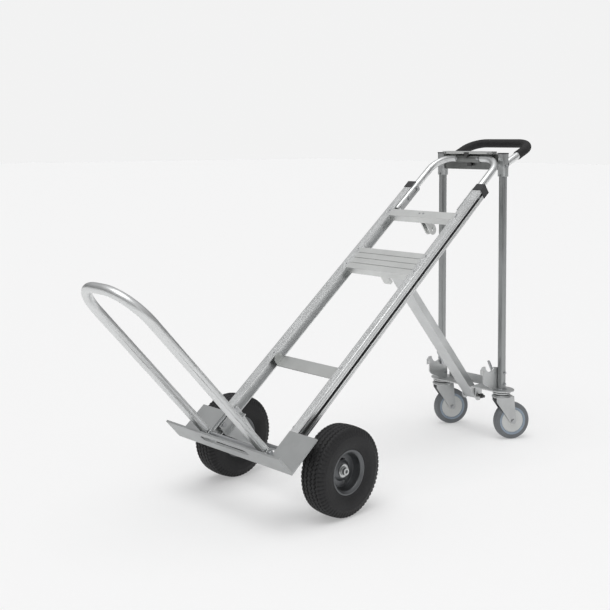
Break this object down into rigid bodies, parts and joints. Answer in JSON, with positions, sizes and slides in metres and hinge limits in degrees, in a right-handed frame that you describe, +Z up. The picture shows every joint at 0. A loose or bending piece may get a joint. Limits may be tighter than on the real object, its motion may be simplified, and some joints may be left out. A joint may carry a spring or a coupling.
{
  "type": "convertible hand truck",
  "caption": "Convertible hand truck leaning on two large wheels and two swivel casters, with a folding toe loop, a braced handle unit and a grip handle.",
  "frame": {"origin": "on the floor, under the middle of the truck's box, on its middle plane", "axes": "+X from the toe plate to the casters, +Y to the left wheel, +Z up"},
  "size_m": [1.7888, 0.554, 1.0625],
  "materials": {
    "extrusion": "brushed along the length",
    "tube": "polished",
    "plate": "satin rolled",
    "zinc": "zinc plated",
    "steel": "plated",
    "rim": "grey enamel",
    "tyre": "matte black",
    "grip": "matte black foam",
    "plastic": "moulded black",
    "caster_core": "light grey",
    "caster_tread": "grey rubber"
  },
  "bodies": {
    "frame": {"rail_left": "extrusion", "rail_right": "extrusion", "rail_caps": "plastic", "rail_loop": "tube", "loop_straps": "zinc", "loop_strap_bolts": "steel", "top_crossbar": "plate", "strut_keeper": "zinc", "deck_plate": "plate", "deck_tab": "zinc", "strut_seat": "zinc", "lower_crossbar": "plate", "frame_rivets": "steel", "toe_plate": "plate", "axle": "steel", "axle_brackets": "zinc", "bracket_bolts": "steel", "axle_spacers": "zinc", "axle_caps": "zinc", "hinge_ears": "zinc", "hinge_rod": "steel"},
    "toe_loop_body": {"toe_loop": "tube", "toe_loop_bushes": "plastic"},
    "wheel_left": {"tyre_left": "tyre", "rim_left": "rim", "hub_left": "zinc"},
    "wheel_right": {"tyre_right": "tyre", "rim_right": "rim", "hub_right": "zinc"},
    "handle_unit": {"post_left": "extrusion", "post_right": "extrusion", "sleeves": "extrusion", "post_caps": "plastic", "top_channel": "plate", "tube_saddle": "zinc", "channel_bolts": "steel", "handle_tube": "tube", "handle_grip": "grip", "handle_bolts": "steel", "base_plate": "zinc", "clevis_ears": "zinc", "clevis_bolt": "plastic", "hook_left": "zinc", "hook_right": "zinc", "post_bolts": "steel", "swivel_races": "zinc", "king_pins": "steel"},
    "strut_body": {"strut": "plate"},
    "latch": {"latch_button": "zinc"},
    "lever_left_body": {"lever_left": "steel"},
    "lever_right_body": {"lever_right": "steel"},
    "caster_left": {"fork_left": "zinc", "fork_axle_left": "steel"},
    "caster_right": {"fork_right": "zinc", "fork_axle_right": "steel"},
    "caster_wheel_left": {"caster_core_left": "caster_core", "caster_tread_left": "caster_tread"},
    "caster_wheel_right": {"caster_core_right": "caster_core", "caster_tread_right": "caster_tread"}
  },
  "joints": [
    {"name": "toe_loop_fold", "type": "hinge", "parent": "frame", "child": "toe_loop_body", "pos_m": [-0.42893, 0, 0.19454], "axis": [0, 1, 0], "range_deg": [0, 93]},
    {"name": "wheel_left_roll", "type": "hinge", "parent": "frame", "child": "wheel_left", "pos_m": [-0.24097, 0.235, 0.127], "axis": [0, 1, 0], "continuous": true},
    {"name": "wheel_right_roll", "type": "hinge", "parent": "frame", "child": "wheel_right", "pos_m": [-0.24097, -0.235, 0.127], "axis": [0, 1, 0], "continuous": true},
    {"name": "handle_unit_swing", "type": "hinge", "parent": "frame", "child": "handle_unit", "pos_m": [0.66829, 0, 0.99209], "axis": [0, 1, 0], "range_deg": [-30, 0]},
    {"name": "strut_swing", "type": "hinge", "parent": "handle_unit", "child": "strut_body", "pos_m": [0.69503, 0, 0.135], "axis": [0, 1, 0], "range_deg": [0, 15]},
    {"name": "latch_pull", "type": "slide", "parent": "handle_unit", "child": "latch", "axis": [1, 0, 0], "range_m": [0, 0.008], "stiffness_N_per_m": 400, "springref_m": -0.004},
    {"name": "lever_left_press", "type": "hinge", "parent": "handle_unit", "child": "lever_left_body", "pos_m": [0.66503, 0.115, 0.236], "axis": [0, 1, 0], "range_deg": [0, 25], "stiffness_Nm_per_rad": 0.2, "springref_deg": -17.19},
    {"name": "lever_right_press", "type": "hinge", "parent": "handle_unit", "child": "lever_right_body", "pos_m": [0.66503, -0.115, 0.236], "axis": [0, 1, 0], "range_deg": [0, 25], "stiffness_Nm_per_rad": 0.2, "springref_deg": -17.19},
    {"name": "caster_left_swivel", "type": "hinge", "parent": "handle_unit", "child": "caster_left", "pos_m": [0.68803, 0.133, 0.15], "axis": [0, 0, 1], "continuous": true},
    {"name": "caster_right_swivel", "type": "hinge", "parent": "handle_unit", "child": "caster_right", "pos_m": [0.68803, -0.133, 0.15], "axis": [0, 0, 1], "continuous": true},
    {"name": "caster_left_roll", "type": "hinge", "parent": "caster_left", "child": "caster_wheel_left", "pos_m": [0.72007, 0.1145, 0.065], "axis": [0.5, 0.866, 0], "continuous": true},
    {"name": "caster_right_roll", "type": "hinge", "parent": "caster_right", "child": "caster_wheel_right", "pos_m": [0.72007, -0.1515, 0.065], "axis": [0.5, 0.866, 0], "continuous": true}
  ]
}
